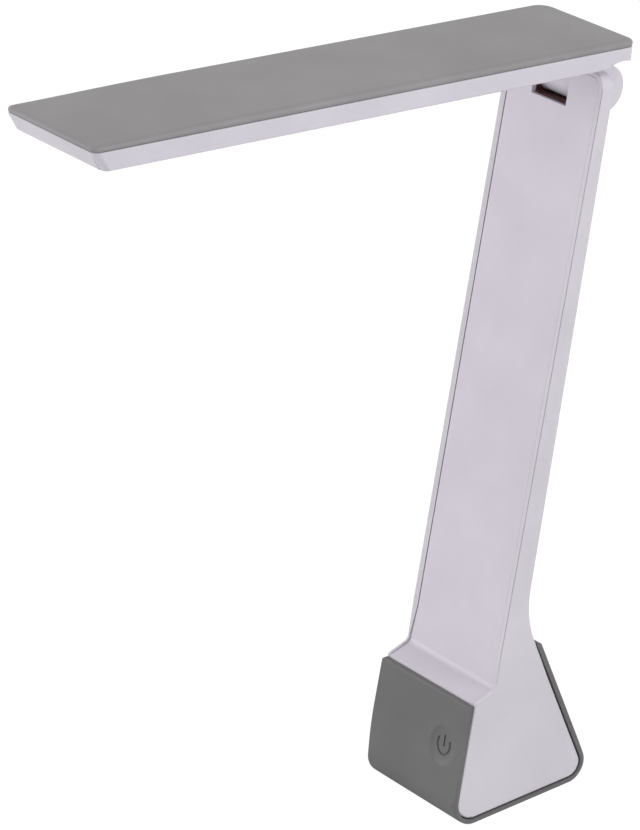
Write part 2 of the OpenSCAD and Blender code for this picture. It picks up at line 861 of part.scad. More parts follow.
// Small board that carries the charging socket
module charge_board() {
    top = socket_up - socket_h / 2;
    color("seagreen")
    back_frame()
        block([-charge_w / 2, -inset - arm_wall - charge_len, top - charge_t],
            [charge_w / 2, -inset - arm_wall - slip, top]);
}

// Metal shell of the charging socket, open at the back of the lamp
module charge_socket() {
    color("silver")
    back_frame()
        difference() {
            socket_slot(0, -socket_len - socket_sunk, -socket_sunk);
            socket_slot(-socket_wall, -socket_len - socket_sunk + socket_wall * 2, over);
        }
}

// Two-core lead from the battery to the board's lower plug
module battery_leads() {
    face = board_b + board_t + plug_d;
    from = [0, cell_y - cell_w / 2 - cable_r, floor_z + ballast_t + pad_t + cell_t / 2];
    to = arm_pt(board_low + post_in, face + cable_r * 2);
    color("firebrick")
    for (x = [-cable_r, cable_r] * core_apart_share)
        tube(spline([[x, from.y, from.z], [x, (from.y + to.x) / 2, from.z - cable_r],
            [x, to.x, to.y]], cable_steps), cable_r, cable_sides, [1, 0, 0]);
}

// Lead from the charging board up and over the battery to the board's plug
module charge_leads() {
    level = socket_up - socket_h / 2 - charge_t / 2;
    start = back_pt(level, inset + arm_wall + charge_len + slip);
    bend = back_pt(level, inset + arm_wall + charge_len + cable_r * 2);
    face = board_b + board_t + plug_d;
    end = arm_pt(plug_a + plug_h / 2, face + slip);
    near = arm_pt(plug_a + plug_h / 2, face + cable_r * 3);
    rise = floor_z + ballast_t + pad_t + cell_t + cable_r * 5;
    color("firebrick")
    tube(spline([[0, start.x, start.y], [0, bend.x, bend.y], [0, bend.x - cable_r, (bend.y + rise) / 2],
        [lead_x / 3, cell_y + cable_r * 4, rise], [lead_x, near.x + cable_r * 3, near.y - cable_r * 4],
        [lead_x, near.x, near.y], [lead_x, end.x, end.y]], cable_steps), cable_r, cable_sides, [1, 0, 0]);
}

// Cable from the board up the arm's hollow to the hinge
module arm_cable() {
    start = [plug_a + plug_h / 2, board_b + board_t + plug_d];
    lane = panel_seat + cable_r + seat_gap;
    route = [start + [0, slip], start + [0, cable_r * 3], [rim_a + ledge_rise / 2, lane + cable_r * 3],
        [rim_a + ledge_rise * 4, lane], [(rim_a + slot_a) / 2, lane], [slot_a - cable_r, lane]];
    color("#4a2a26")
    tube(spline([for (i = [0:len(route) - 1])
        [i < 2 ? -lead_x : i < 3 ? -lead_x / 2 : 0, arm_pt(route[i].x, route[i].y).x,
            arm_pt(route[i].x, route[i].y).y]], cable_steps), cable_r, cable_sides, [1, 0, 0]);
}

// Caps that close the two barrels, cut flat where they meet the arm's back
module hinge_caps() {
    low = slot_a - barrel_r;
    high = arm_len + barrel_r;
    color("gainsboro")
    both_ends()
        intersection() {
            across(lamp_w, [arm_back(low, -slip), arm_back(low, -barrel_r * 3),
                arm_back(high, -barrel_r * 3), arm_back(high, -slip)]);
            hinge_frame()
                rotate_extrude()
                    polygon([[0, cap_x], [well_r - spigot_t, cap_x],
                        [well_r - spigot_t, cap_x - spigot_len], [well_r - slip, cap_x - spigot_len],
                        [well_r - slip, cap_x], [barrel_r, cap_x],
                        [barrel_r, cap_x + cap_t - cap_edge], [barrel_r - cap_edge, cap_x + cap_t],
                        [0, cap_x + cap_t]]);
        }
}

// Ring of radius r about the hinge axis, bored to bore_r, from x0 to x1
module ring(r, bore_r, x0, x1) {
    hinge_frame()
        rotate_extrude()
            polygon([[bore_r, x0], [r, x0], [r, x1], [bore_r, x1]]);
}

// Washers that rub between the drum and the barrels
module friction_washers() {
    color("khaki")
    both_ends()
        ring(washer_r, pin_r + pin_clear, slot_half - washer_t, slot_half);
}

// Steel pin with a head at one end
module hinge_pin() {
    color("silver")
    hinge_place()
        hinge_frame()
            rotate_extrude()
                polygon([[0, -well_x - slip - pin_head_t], [pin_head_r, -well_x - slip - pin_head_t],
                    [pin_head_r, -well_x - slip], [pin_r, -well_x - slip], [pin_r, cap_x - pin_end],
                    [0, cap_x - pin_end]]);
}

// Pair of coned springs that load the hinge
module disc_springs() {
    cone = spring_t / 2;
    color("gray")
    hinge_place()
        hinge_frame()
            for (k = [0, 1], near = [cone, 0][k], far = [0, cone][k])
                translate([0, 0, well_x + slip + k * (spring_t + cone)])
                    rotate_extrude()
                        polygon([[pin_r + slip, near], [spring_r, far], [spring_r, spring_t + far],
                            [pin_r + slip, spring_t + near]]);
}

// Hexagon nut that sets the friction
module hinge_nut() {
    start = well_x + slip * 2 + spring_t * 3;
    color("silver")
    hinge_place()
        hinge_frame()
            translate([0, 0, start])
                difference() {
                    cylinder(r = nut_r, h = min(nut_t, cap_x - slip - start), $fn = 6);
                    translate([0, 0, -over])
                        cylinder(r = pin_r + pin_clear, h = nut_t + over * 2);
                }
}

// Side outline of the tray, in the head's frame
function tray_outline() = rounded([[tip_v + tray_in, part_w, 0],
    [tip_v + tip_undercut, head_lift, tray_edge_r], [neck_back, head_lift, tray_edge_r],
    [neck_back, part_w, 0]]);

// Plan of the head, moved in by t
function head_plan(t) = rounded([[-head_w / 2 + t, tip_v + t, tip_corner_r - t / 2],
    [head_w / 2 - t, tip_v + t, tip_corner_r - t / 2],
    [head_w / 2 - t, head_rear - t, rear_corner_r - t],
    [-head_w / 2 + t, head_rear - t, rear_corner_r - t]]);

// Outside of the tray
module tray_body() {
    intersection() {
        across(tray_half, tray_outline());
        linear_extrude(height = part_w)
            polygon(head_plan(tray_in));
        translate([0, head_rear, 0])
            rotate([90, 0, 0])
                linear_extrude(height = head_rear - tip_v)
                    polygon(rounded([[-tray_half, head_lift, tray_edge_r],
                        [tray_half, head_lift, tray_edge_r], [tray_half, part_w, 0],
                        [-tray_half, part_w, 0]]));
    }
}

// White tray of the head with its light window, neck and hinge drum
module head_tray() {
    v0 = tip_v + tip_undercut + head_wall;
    color("gainsboro")
    head_frame()
    difference() {
        union() {
            difference() {
                tray_body();
                slab(-tray_half + head_wall, tray_half - head_wall, v0, neck_back - head_wall,
                    lens_r, head_lift + head_wall, part_w + over);
                slab(-window_w / 2, window_w / 2, window_v.x, window_v.y, window_r,
                    head_lift - over, part_w);
            }
            intersection() {
                tray_body();
                drum_rod(scoop_r + head_wall, lamp_w);
            }
            neck(drum_half);
        }
        difference() {
            drum_rod(scoop_r, lamp_w);
            neck(drum_half);
        }
        drum_rod(pin_r + pin_clear / 2, drum_half + over);
        cable_way();
    }
}

// Drum and neck of the head, to half on each side
module neck(half) {
    drum_rod(drum_r, half);
    hinge_place()
        block([-half, -neck_front, 0], [half, neck_back, head_lift + head_wall]);
}

// Way for the cable from the drum's underside round its core and up the neck
module cable_way() {
    half = groove_w / 2;
    difference() {
        union() {
            drum_rod(drum_r - drum_skin, half);
            hinge_place()
                block([-half, -neck_front + drum_skin, 0], [half, -core_r, scoop_r + head_wall + over]);
        }
        drum_rod(core_r, groove_w);
        hinge_place()
            block([-groove_w, -core_r, 0], [groove_w, neck_back + over, part_w]);
    }
    hinge_place()
        block([-half + slip, slip, -drum_r - over], [half - slip, core_r, -core_r - slip]);
}

// Rod about the head's own hinge axis, to half on each side
module drum_rod(r, half) {
    hinge_place()
        rotate([0, 90, 0])
            cylinder(r = r, h = half * 2, center = true);
}

// Slab of the cover with its plan moved in by t, from low under the parting to high above it
module cover_slab(t, low, high) {
    x = head_w / 2 - t;
    tip = tip_v + t;
    rear = head_rear - t;
    translate([0, 0, part_w - low]) {
        linear_extrude(height = low + high)
            polygon(rounded([[-x, tip_v + tip_ease, 0], [x, tip_v + tip_ease, 0],
                [x, rear, rear_corner_r - t], [-x, rear, rear_corner_r - t]]));
        linear_extrude(height = low + high * tip_share)
            polygon(rounded([[-x, tip, tip_corner_r - t / 2], [x, tip, tip_corner_r - t / 2],
                [x, tip_v + tip_corner_r * 2, 0], [-x, tip_v + tip_corner_r * 2, 0]]));
    }
}

// Grey cover of the head, rounded all round its top, with posts for the light board
module head_cover() {
    r = cover_edge_r;
    t = head_wall;
    color("darkgray")
    head_frame() {
        difference() {
            union() {
                difference() {
                    hull()
                        for (k = [0:edge_steps], turn = 90 * k / edge_steps)
                            cover_slab(r * (1 - cos(turn)), 0, cover_t - r * (1 - sin(turn)));
                    hull()
                        cover_slab(t + tray_in, over, cover_t - t);
                }
                led_posts(led_post_r, led_board_low + board_t, part_w + cover_t * tip_share);
            }
            led_posts(board_screw_r + screw_clear, led_board_low, led_hole_top);
        }
    }
}

// Pegs of radius r at the light board's six screws, from z0 to z1
module led_posts(r, z0, z1) {
    for (x = led_post_xs(), v = led_post_vs())
        translate([x, v, z0])
            cylinder(r = r, h = z1 - z0);
}

// Places of the light board's posts
function led_post_xs() = [-led_board_w / 2 + led_post_r, led_board_w / 2 - led_post_r];
function led_post_vs() = [window_v.x + led_post_in, (window_v.x + window_v.y) / 2, window_v.y - led_post_in];

// Frosted window with a flange behind it
module diffuser() {
    color("white", 0.8)
    head_frame() {
        slab(-window_w / 2 + slip, window_w / 2 - slip, window_v.x + slip, window_v.y - slip,
            window_r - slip, head_lift + slip * 2, head_lift + head_wall + lens_t);
        slab(-window_w / 2 - lens_flange, window_w / 2 + lens_flange, window_v.x - lens_flange,
            window_v.y + lens_flange, window_r, head_lift + head_wall, head_lift + head_wall + lens_t);
    }
}

// Light board screwed up to the cover's posts
module led_board() {
    color("whitesmoke")
    head_frame()
        difference() {
            slab(-led_board_w / 2, led_board_w / 2, window_v.x + led_margin, window_v.y - led_margin,
                lens_r, led_board_low, led_board_low + board_t);
            for (x = led_post_xs(), v = led_post_vs())
                translate([x, v, led_board_low - over])
                    cylinder(r = board_screw_r + screw_clear, h = board_t + over * 2);
        }
}

// Two rows of light chips under the board
module led_chips() {
    run = window_v.y - window_v.x - led_margin * 4;
    color("lemonchiffon")
    head_frame()
        for (x = [-led_row / 2, led_row / 2], i = [0:led_count - 1])
            translate([x - led_l / 2, window_v.x + led_margin * 2 + run * i / (led_count - 1) - led_w / 2,
                led_board_low - led_t])
                cube([led_l, led_w, led_t]);
}

// Six screws of the light board
module led_screws() {
    color("silver")
    head_frame()
        for (x = led_post_xs(), v = led_post_vs())
            translate([x, v, led_board_low])
                screw(board_screw_r, led_hole_top - led_board_low - slip * 2, board_head_r, board_head_t);
}

// Cable from the hinge drum through the neck to the light board
module head_cable() {
    lane = core_r + cable_r * 2;
    enter = -lane - cable_r / 2;
    path = [[-lane * cos(cable_turn), -lane * sin(cable_turn)], [-lane, 0], [enter, head_lift / 2],
        [enter, head_lift + head_wall], [enter - cable_r * 4, led_board_low - cable_r * 2],
        [window_v.y + cable_r * 8, led_board_low - cable_r * 2],
        [window_v.y - led_margin - cable_r, led_board_low - cable_r]];
    color("#4a2a26")
    head_frame()
        tube(spline([for (p = path) [-hinge_left, p.x, p.y]], cable_steps), cable_r, cable_sides,
            [1, 0, 0]);
}

arm_shell();
arm_panel();
base_wrap();
foot_pad();
base_screws();
ballast_plate();
ballast_screws();
battery_pad();
battery_cell();
battery_leads();
control_board();
board_parts();
board_screws();
touch_spring();
charge_board();
charge_socket();
charge_leads();
arm_cable();
hinge_caps();
friction_washers();
hinge_pin();
disc_springs();
hinge_nut();
head_tray();
head_cover();
diffuser();
led_board();
led_chips();
led_screws();
head_cable();
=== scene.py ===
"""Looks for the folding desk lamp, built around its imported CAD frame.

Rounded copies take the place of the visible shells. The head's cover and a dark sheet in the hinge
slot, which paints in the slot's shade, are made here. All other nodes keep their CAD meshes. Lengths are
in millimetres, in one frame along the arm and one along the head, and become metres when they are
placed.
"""

import json
import math

import bmesh
import bpy
from mathutils import Matrix, Vector


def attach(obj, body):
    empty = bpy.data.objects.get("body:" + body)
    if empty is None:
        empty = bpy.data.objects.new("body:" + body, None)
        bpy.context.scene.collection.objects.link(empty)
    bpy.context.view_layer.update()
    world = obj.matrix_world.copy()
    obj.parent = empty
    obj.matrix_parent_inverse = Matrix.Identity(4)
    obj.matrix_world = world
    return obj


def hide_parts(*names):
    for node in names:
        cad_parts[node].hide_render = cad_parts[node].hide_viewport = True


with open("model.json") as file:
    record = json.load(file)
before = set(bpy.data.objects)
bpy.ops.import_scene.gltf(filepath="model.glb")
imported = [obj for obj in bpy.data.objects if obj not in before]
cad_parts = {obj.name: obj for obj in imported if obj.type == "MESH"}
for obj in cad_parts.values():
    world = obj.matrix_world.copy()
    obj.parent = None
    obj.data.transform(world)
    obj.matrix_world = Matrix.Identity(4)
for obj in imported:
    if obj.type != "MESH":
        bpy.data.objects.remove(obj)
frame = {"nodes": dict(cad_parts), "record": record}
NODES = frame["nodes"]
SLOTS = {part["node"]: part["material_slot"] for part in frame["record"]["subparts"]}
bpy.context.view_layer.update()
scene = bpy.context.scene
MM = 0.001
WHITE = (1, 1, 1, 1)


# Camera: the photograph's place, direction and lens

CAMERA_TURN, CAMERA_DROP = math.radians(51.1396), math.radians(25.3991)
CAMERA_PLACE = (1.1998, -1.05689, 0.93841)
FOCAL_PIXELS, PHOTO_PIXELS = 4107.83, 830
SENSOR = 36
CLIP_START, CLIP_END = 0.05, 50


def make_camera():
    right = Vector((math.cos(CAMERA_TURN), math.sin(CAMERA_TURN), 0))
    ahead = Vector((
        -math.sin(CAMERA_TURN) * math.cos(CAMERA_DROP),
        math.cos(CAMERA_TURN) * math.cos(CAMERA_DROP),
        -math.sin(CAMERA_DROP)))
    up = right.cross(ahead)
    data = bpy.data.cameras.new("camera")
    data.sensor_width = SENSOR
    data.lens = FOCAL_PIXELS * SENSOR / PHOTO_PIXELS
    data.clip_start, data.clip_end = CLIP_START, CLIP_END
    cam = bpy.data.objects.new("camera", data)
    cam.matrix_world = Matrix([*zip(right, up, -ahead, CAMERA_PLACE), (0, 0, 0, 1)])
    scene.collection.objects.link(cam)
    scene.camera = cam


# Materials

class Tree:
    """Short hand for building a node tree."""

    def __init__(self, node_tree):
        self.tree = node_tree

    def put(self, node, key, value):
        """Links a socket to one input of the node, or sets that input's value."""
        if isinstance(value, bpy.types.NodeSocket):
            self.tree.links.new(value, node.inputs[key])
        else:
            node.inputs[key].default_value = value

    def add(self, kind, ins=None, **props):
        node = self.tree.nodes.new("ShaderNode" + kind)
        for key, value in props.items():
            setattr(node, key, value)
        for key, value in (ins or {}).items():
            self.put(node, key, value)
        return node


class Surface(Tree):
    """A new material and its tree."""

    def __init__(self, name):
        self.mat = bpy.data.materials.new(name)
        self.mat.use_nodes = True
        super().__init__(self.mat.node_tree)
        self.shader = self.tree.nodes["Principled BSDF"]
        self.out = self.tree.nodes["Material Output"]


def linear(*srgb):
    """A colour from 0 to 255 as the shader's linear one."""
    shares = [c / 255 for c in srgb]
    return tuple(s / 12.92 if s <= 0.04045 else ((s + 0.055) / 1.055) ** 2.4 for s in shares) + (1,)


def noise(t, place, scale, detail=2.0, rough=0.5):
    ins = {"Vector": place, "Scale": scale, "Detail": detail, "Roughness": rough}
    return t.add("TexNoise", ins).outputs["Fac"]


def ramp(t, fac, low, high, start=0.0, end=1.0):
    """Mixes colour low to high as fac goes from start to end."""
    node = t.add("ValToRGB", {"Fac": fac})
    for stop, place, colour in zip(node.color_ramp.elements, (start, end), (low, high)):
        stop.position, stop.color = place, colour
    return node.outputs["Color"]


def spread(t, fac, low, high):
    return t.add("MapRange", {"Value": fac, "To Min": low, "To Max": high}).outputs["Result"]


DRIFT_SCALE, DRIFT_DETAIL, DRIFT, DRIFT_START, DRIFT_END = 28.0, 3.0, 4, 0.3, 0.7
GLOSS_SCALE, GLOSS_DRIFT = 900.0, 0.05
GRAIN_SCALE, GRAIN_DETAIL, GRAIN_ROUGH, GRAIN_HEIGHT = 3600.0, 3.0, 0.6, 0.0001


def new_material(name, srgb, rough, grain, metal, specular):
    """A surface with fine grain, a slow drift of its colour and an uneven gloss."""
    t = Surface(name)
    place = t.add("NewGeometry").outputs["Position"]
    low = linear(*[max(c - DRIFT, 0) for c in srgb])
    high = linear(*[min(c + DRIFT, 255) for c in srgb])
    colour = ramp(t, noise(t, place, DRIFT_SCALE, DRIFT_DETAIL), low, high, DRIFT_START, DRIFT_END)
    gloss = spread(t, noise(t, place, GLOSS_SCALE), rough - GLOSS_DRIFT, rough + GLOSS_DRIFT)
    height = noise(t, place, GRAIN_SCALE, GRAIN_DETAIL, GRAIN_ROUGH)
    bump = t.add("Bump", {"Strength": grain, "Distance": GRAIN_HEIGHT, "Height": height})
    t.put(t.shader, "Base Color", colour)
    t.put(t.shader, "Roughness", gloss)
    t.put(t.shader, "Metallic", metal)
    t.put(t.shader, "Specular IOR Level", specular)
    t.put(t.shader, "Normal", bump.outputs["Normal"])
    return t.mat


# Colour, roughness, grain, metal and specular level
FINISHES = {
    "white_body": ((212, 208, 216), 0.38, 0.05, 0.0, 0.5),
    "white_panel": ((212, 207, 217), 0.42, 0.05, 0.0, 0.5),
    "white_head": ((212, 208, 217), 0.36, 0.05, 0.0, 0.5),
    "grey_wrap": ((106, 106, 106), 0.5, 0.12, 0.0, 0.35),
    "grey_cover": ((147, 145, 146), 0.5, 0.12, 0.0, 0.35),
    "foot_rubber": ((52, 52, 54), 0.8, 0.2, 0.0, 0.5),
    "screw_steel": ((150, 150, 152), 0.3, 0.05, 1.0, 0.5),
    "ballast_steel": ((120, 118, 115), 0.45, 0.05, 1.0, 0.5),
    "hinge_steel": ((120, 104, 98), 0.35, 0.05, 1.0, 0.5),
    "socket_metal": ((170, 170, 172), 0.3, 0.05, 1.0, 0.5),
    "brass": ((188, 160, 92), 0.35, 0.05, 1.0, 0.5),
    "foam": ((60, 60, 62), 0.9, 0.5, 0.0, 0.5),
    "cell_wrap": ((168, 172, 178), 0.3, 0.05, 0.6, 0.5),
    "board_green": ((30, 84, 52), 0.4, 0.05, 0.0, 0.5),
    "board_white": ((226, 226, 222), 0.4, 0.05, 0.0, 0.5),
    "chip_black": ((32, 32, 34), 0.5, 0.05, 0.0, 0.5),
    "cable_sheath": ((36, 36, 38), 0.5, 0.05, 0.0, 0.5),
    # painted shade: a dark red-brown that stands in for the shade inside the hinge slot
    "slot_painted_shade": ((84, 44, 40), 0.6, 0.05, 0.0, 0.5),
    "lens_frosted": ((232, 231, 228), 0.45, 0.1, 0.0, 0.5),
    "led_phosphor": ((226, 200, 110), 0.4, 0.05, 0.0, 0.5),
}

materials = {name: new_material(name, *finish) for name, finish in FINISHES.items()}


# Stage and light

WORLD_COLOUR, WORLD_LIGHT = (1.0, 0.985, 1.0, 1), 0.45
FLOOR_HALF = 4
FLOOR_LOW, FLOOR_HIGH = linear(238, 238, 238), linear(244, 244, 244)
FLOOR_SCALE, FLOOR_ROUGH = 6.0, 0.9
FLOOR_GLOW, FLOOR_GLOW_SHARE = 1.09, 0.9
STAND_MIDDLE, ARM_MIDDLE = (0, 0, 0.2), (0, 0, 0.3)
LAMPS = (
    ("left", 1.2, 15, (-1.6, -1.5, 0.8), STAND_MIDDLE),
    ("front", 1.2, 5, (0, -2.2, 0.6), STAND_MIDDLE),
    ("top", 1.0, 5, (0.1, -1.5, 2.0), STAND_MIDDLE),
    ("right", 1.2, 14.5, (1.8, 0.8, 0.9), STAND_MIDDLE),
    ("above", 0.7, 5, (1.1, 0.4, 1.9), ARM_MIDDLE),
)


def make_world():
    """White behind the lamp, and a dimmer light from all around it."""
    world = bpy.data.worlds.new("studio")
    scene.world = world
    world.use_nodes = True
    world.node_tree.nodes.clear()
    t = Tree(world.node_tree)
    path = t.add("LightPath").outputs
    is_seen = path["Is Camera Ray"]
    for ray in ("Is Glossy Ray", "Is Transmission Ray"):
        is_seen = t.add("Math", {0: is_seen, 1: path[ray]}, operation="MAXIMUM").outputs[0]
    light = t.add("Background", {"Color": WORLD_COLOUR, "Strength": WORLD_LIGHT})
    seen = t.add("Background", {"Color": WHITE, "Strength": 1.0})
    mix = t.add("MixShader", {"Fac": is_seen, 1: light.outputs[0], 2: seen.outputs[0]})
    t.add("OutputWorld", {"Surface": mix.outputs[0]})


def make_floor():
    """Pale paper that keeps a faint shadow, and can't be seen from below."""
    mesh = bpy.data.meshes.new("floor")
    r = FLOOR_HALF
    mesh.from_pydata([(-r, -r, 0), (r, -r, 0), (r, r, 0), (-r, r, 0)], [], [(0, 1, 2, 3)])
    floor = bpy.data.objects.new("floor", mesh)
    scene.collection.objects.link(floor)
    t = Surface("floor_paper")
    place = t.add("NewGeometry").outputs
    paper = noise(t, place["Position"], FLOOR_SCALE)
    t.put(t.shader, "Base Color", ramp(t, paper, FLOOR_LOW, FLOOR_HIGH))
    t.put(t.shader, "Roughness", FLOOR_ROUGH)
    glow = t.add("Emission", {"Color": WHITE, "Strength": FLOOR_GLOW})
    is_camera = t.add("LightPath").outputs["Is Camera Ray"]
    share = t.add("Math", {0: is_camera, 1: FLOOR_GLOW_SHARE}, operation="MULTIPLY")
    front = t.add("MixShader", {"Fac": share.outputs[0], 1: t.shader.outputs[0], 2: glow.outputs[0]})
    clear = t.add("BsdfTransparent")
    sides = t.add("MixShader", {"Fac": place["Backfacing"], 1: front.outputs[0], 2: clear.outputs[0]})
    t.put(t.out, "Surface", sides.outputs[0])
    mesh.materials.append(t.mat)


def make_lamps():
    for name, size, power, place, aim in LAMPS:
        data = bpy.data.lights.new(name, "AREA")
        data.shape, data.size, data.energy = "SQUARE", size, power
        o = bpy.data.objects.new(name, data)
        o.location = place
        o.rotation_mode = "QUATERNION"
        o.rotation_quaternion = (Vector(aim) - Vector(place)).to_track_quat("-Z", "Y")
        scene.collection.objects.link(o)


# The arm's frame: x across, a up the front slope and b back from it
# The head's frame: x across, v towards the rear and w up, with the hinge's axis at v = w = 0

LEAN = math.radians(11.25)
FOOT = Vector((0, -41.8, 0.6))
AXIS_A, AXIS_B = 334.5, 24.3
TILT = math.radians(4.37)


def arm_point(x, a, b):
    y = FOOT.y + a * math.sin(LEAN) + b * math.cos(LEAN)
    z = FOOT.z + a * math.cos(LEAN) - b * math.sin(LEAN)
    return Vector((x, y, z)) * MM


def arm_xab(p):
    """The arm's x, a and b of a point in metres."""
    y, z = p.y / MM - FOOT.y, p.z / MM - FOOT.z
    a = y * math.sin(LEAN) + z * math.cos(LEAN)
    b = y * math.cos(LEAN) - z * math.sin(LEAN)
    return p.x / MM, a, b


UP_THE_ARM = arm_point(0, 1, 0) - arm_point(0, 0, 0)
ARM_PLACE = Matrix.Translation(arm_point(0, 0, 0)) @ Matrix.Rotation(math.radians(90) - LEAN, 4, "X")
HEAD_PLACE = (Matrix.Translation(arm_point(0, AXIS_A, AXIS_B)) @ Matrix.Rotation(-TILT, 4, "X")
              @ Matrix.Scale(MM, 4))


def smooth_step(t):
    t = min(max(t, 0), 1)
    return t * t * (3 - 2 * t)


def quarter(steps):
    """Angles from 0 to 90 degrees."""
    return [math.pi / 2 * i / steps for i in range(steps + 1)]


# Meshes and pieces

NEAR = 0.05
WELD, FLAT = 0.006, math.radians(0.4)
HARD_EDGE = math.radians(32)
SHARP_ROUNDED, SHARP_PLAIN = math.radians(50), math.radians(30)
WIDE_SEGMENTS, FINE_SEGMENTS, EVEN_WEIGHT = 3, 2, 60


def mesh_from(bm, name):
    mesh = bpy.data.meshes.new(name)
    bm.to_mesh(mesh)
    bm.free()
    return mesh


def placed(bm, name, place):
    """The closed mesh with its faces turned outwards, moved to its place."""
    bmesh.ops.recalc_face_normals(bm, faces=bm.faces)
    bmesh.ops.transform(bm, verts=bm.verts, matrix=place)
    return mesh_from(bm, name)


def close_rings(bm, rings):
    """Skins closed rings of vertices one to the next, and caps the first and the last."""
    bm.faces.new(rings[0])
    bm.faces.new(rings[-1])
    for low, high in zip(rings, rings[1:]):
        for i in range(len(low)):
            k = (i + 1) % len(low)
            bm.faces.new((low[i], low[k], high[k], high[i]))


def new_cutter(bm, name, place):
    o = bpy.data.objects.new(name, placed(bm, name, place))
    scene.collection.objects.link(o)
    return o


def new_piece(name, mesh, body, slot_name):
    o = bpy.data.objects.new(name, mesh)
    scene.collection.objects.link(o)
    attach(o, body)
    o.data.materials.clear()
    o.data.materials.append(materials[slot_name])
    return o


def smooth(mesh):
    for face in mesh.polygons:
        face.use_smooth = True


def crisp(o, sharp):
    """Smooth shading that stops at edges sharper than that angle."""
    smooth(o.data)
    o.data.set_sharp_from_angle(angle=sharp)
    even = o.modifiers.new("even_shading", "WEIGHTED_NORMAL")
    even.weight, even.keep_sharp = EVEN_WEIGHT, True


def bevel(o, name, width, limit, segments):
    m = o.modifiers.new(name, "BEVEL")
    m.width, m.segments, m.limit_method, m.angle_limit = width * MM, segments, limit, HARD_EDGE
    m.use_clamp_overlap = False


def split(bm, place, normal):
    """Gives the mesh edges along a plane."""
    whole = bm.verts[:] + bm.edges[:] + bm.faces[:]
    bmesh.ops.bisect_plane(bm, geom=whole, plane_co=place, plane_no=normal)


def welded(node, weigh, levels, strips):
    """A CAD node's mesh with its seams joined and its flats in one piece.

    It is split at levels up the arm and at strips across it, and weigh gives its hard edges their
    share of the wide rounds.
    """
    bm = bmesh.new()
    bm.from_mesh(NODES[node].data)
    bmesh.ops.remove_doubles(bm, verts=bm.verts, dist=WELD * MM)
    bmesh.ops.dissolve_limit(bm, angle_limit=FLAT, verts=bm.verts, edges=bm.edges)
    for a in levels:
        split(bm, arm_point(0, a, 0), UP_THE_ARM)
    for x in strips:
        split(bm, (x * MM, 0, 0), (1, 0, 0))
    if weigh is not None:
        layer = bm.edges.layers.float.new("bevel_weight_edge")
        for edge in bm.edges:
            if edge.is_manifold and edge.calc_face_angle() > HARD_EDGE:
                edge[layer] = weigh(edge.verts[0].co, edge.verts[1].co)
    return mesh_from(bm, node + "_mesh")


def cut_out(o, cutter):
    """Takes the cutter's shape out of the piece, and the cutter out of the scene."""
    cut = o.modifiers.new("cut", "BOOLEAN")
    cut.operation, cut.object, cut.solver = "DIFFERENCE", cutter, "EXACT"
    mesh = bpy.data.meshes.new_from_object(o.evaluated_get(bpy.context.evaluated_depsgraph_get()))
    o.modifiers.clear()
    o.data = mesh
    bpy.data.objects.remove(cutter)


def dressed(node, body, reshape=None, levels=(), strips=(), cutters=(), weigh=None, wide=0.0, fine=0.0):
    """Takes a CAD shell's place, with wide rounds on the edges that weigh picks and fine ones on all."""
    o = new_piece(node + "_look", welded(node, weigh, levels, strips), body, SLOTS[node])
    if reshape is not None:
        reshape(o.data)
    for cutter in cutters:
        cut_out(o, cutter)
    if wide:
        bevel(o, "wide_rounds", wide, "WEIGHT", WIDE_SEGMENTS)
    if fine:
        bevel(o, "fine_rounds", fine, "ANGLE", FINE_SEGMENTS)
    crisp(o, SHARP_ROUNDED if fine else SHARP_PLAIN)
    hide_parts(node)


# Base: the wrap's round upper corners, its touch dish and the power symbol in the dish

WRAP_HALF, WRAP_TOP, WRAP_R, WRAP_FRONT_B = 30.5, 61.1, 4.2, 3
DISH_X, DISH_A = 16.2, 36.0
DISH_WIDE, DISH_TALL, DISH_TURNS = 0.97, 1.06, 64
DISH_STEPS = (
    (8.7, -0.5), (8.6, 0.0), (8.2, 0.12), (7.6, 0.36),
    (6.9, 0.66), (6.1, 0.88), (5.2, 1.0), (3.0, 1.05))
SIGN_X, SIGN_A = 16.45, 36.6
SIGN_RX, SIGN_RY, SIGN_LINE = 4.0, 4.7, 0.95
SIGN_GAP, SIGN_TURNS = math.radians(56), 40
SIGN_BAR_LOW, SIGN_BAR_HIGH = -0.9, 4.5
SIGN_DEPTH, SIGN_ABOVE = 1.6, 1


def round_wrap(mesh):
    """Rounds the two upper corners of the wrap's front."""
    corner_x, corner_a = WRAP_HALF - WRAP_R, WRAP_TOP - WRAP_R
    for v in mesh.vertices:
        x, a, b = arm_xab(v.co)
        dx, da = abs(x) - corner_x, a - corner_a
        far = math.hypot(dx, da)
        if b < WRAP_FRONT_B and dx > 0 and da > 0 and far > WRAP_R:
            share = WRAP_R / far
            v.co = arm_point(math.copysign(corner_x + dx * share, x), corner_a + da * share, b)


def dish_cutter():
    """A shallow bowl, slightly tall, with a rounded rim and a nearly flat floor."""
    bm = bmesh.new()
    turns = [2 * math.pi * i / DISH_TURNS for i in range(DISH_TURNS)]
    rings = []
    for r, deep in DISH_STEPS:
        outline = [(DISH_WIDE * r * math.cos(t), DISH_TALL * r * math.sin(t)) for t in turns]
        rings.append([bm.verts.new((x * MM, y * MM, -deep * MM)) for x, y in outline])
    close_rings(bm, rings)
    return new_cutter(bm, "touch_dish", ARM_PLACE @ Matrix.Translation((DISH_X * MM, DISH_A * MM, 0)))


def sign_arc(grow, start, end):
    turns = [start + (end - start) * i / SIGN_TURNS for i in range(SIGN_TURNS + 1)]
    return [((SIGN_RX + grow) * math.sin(t), (SIGN_RY + grow) * math.cos(t)) for t in turns]


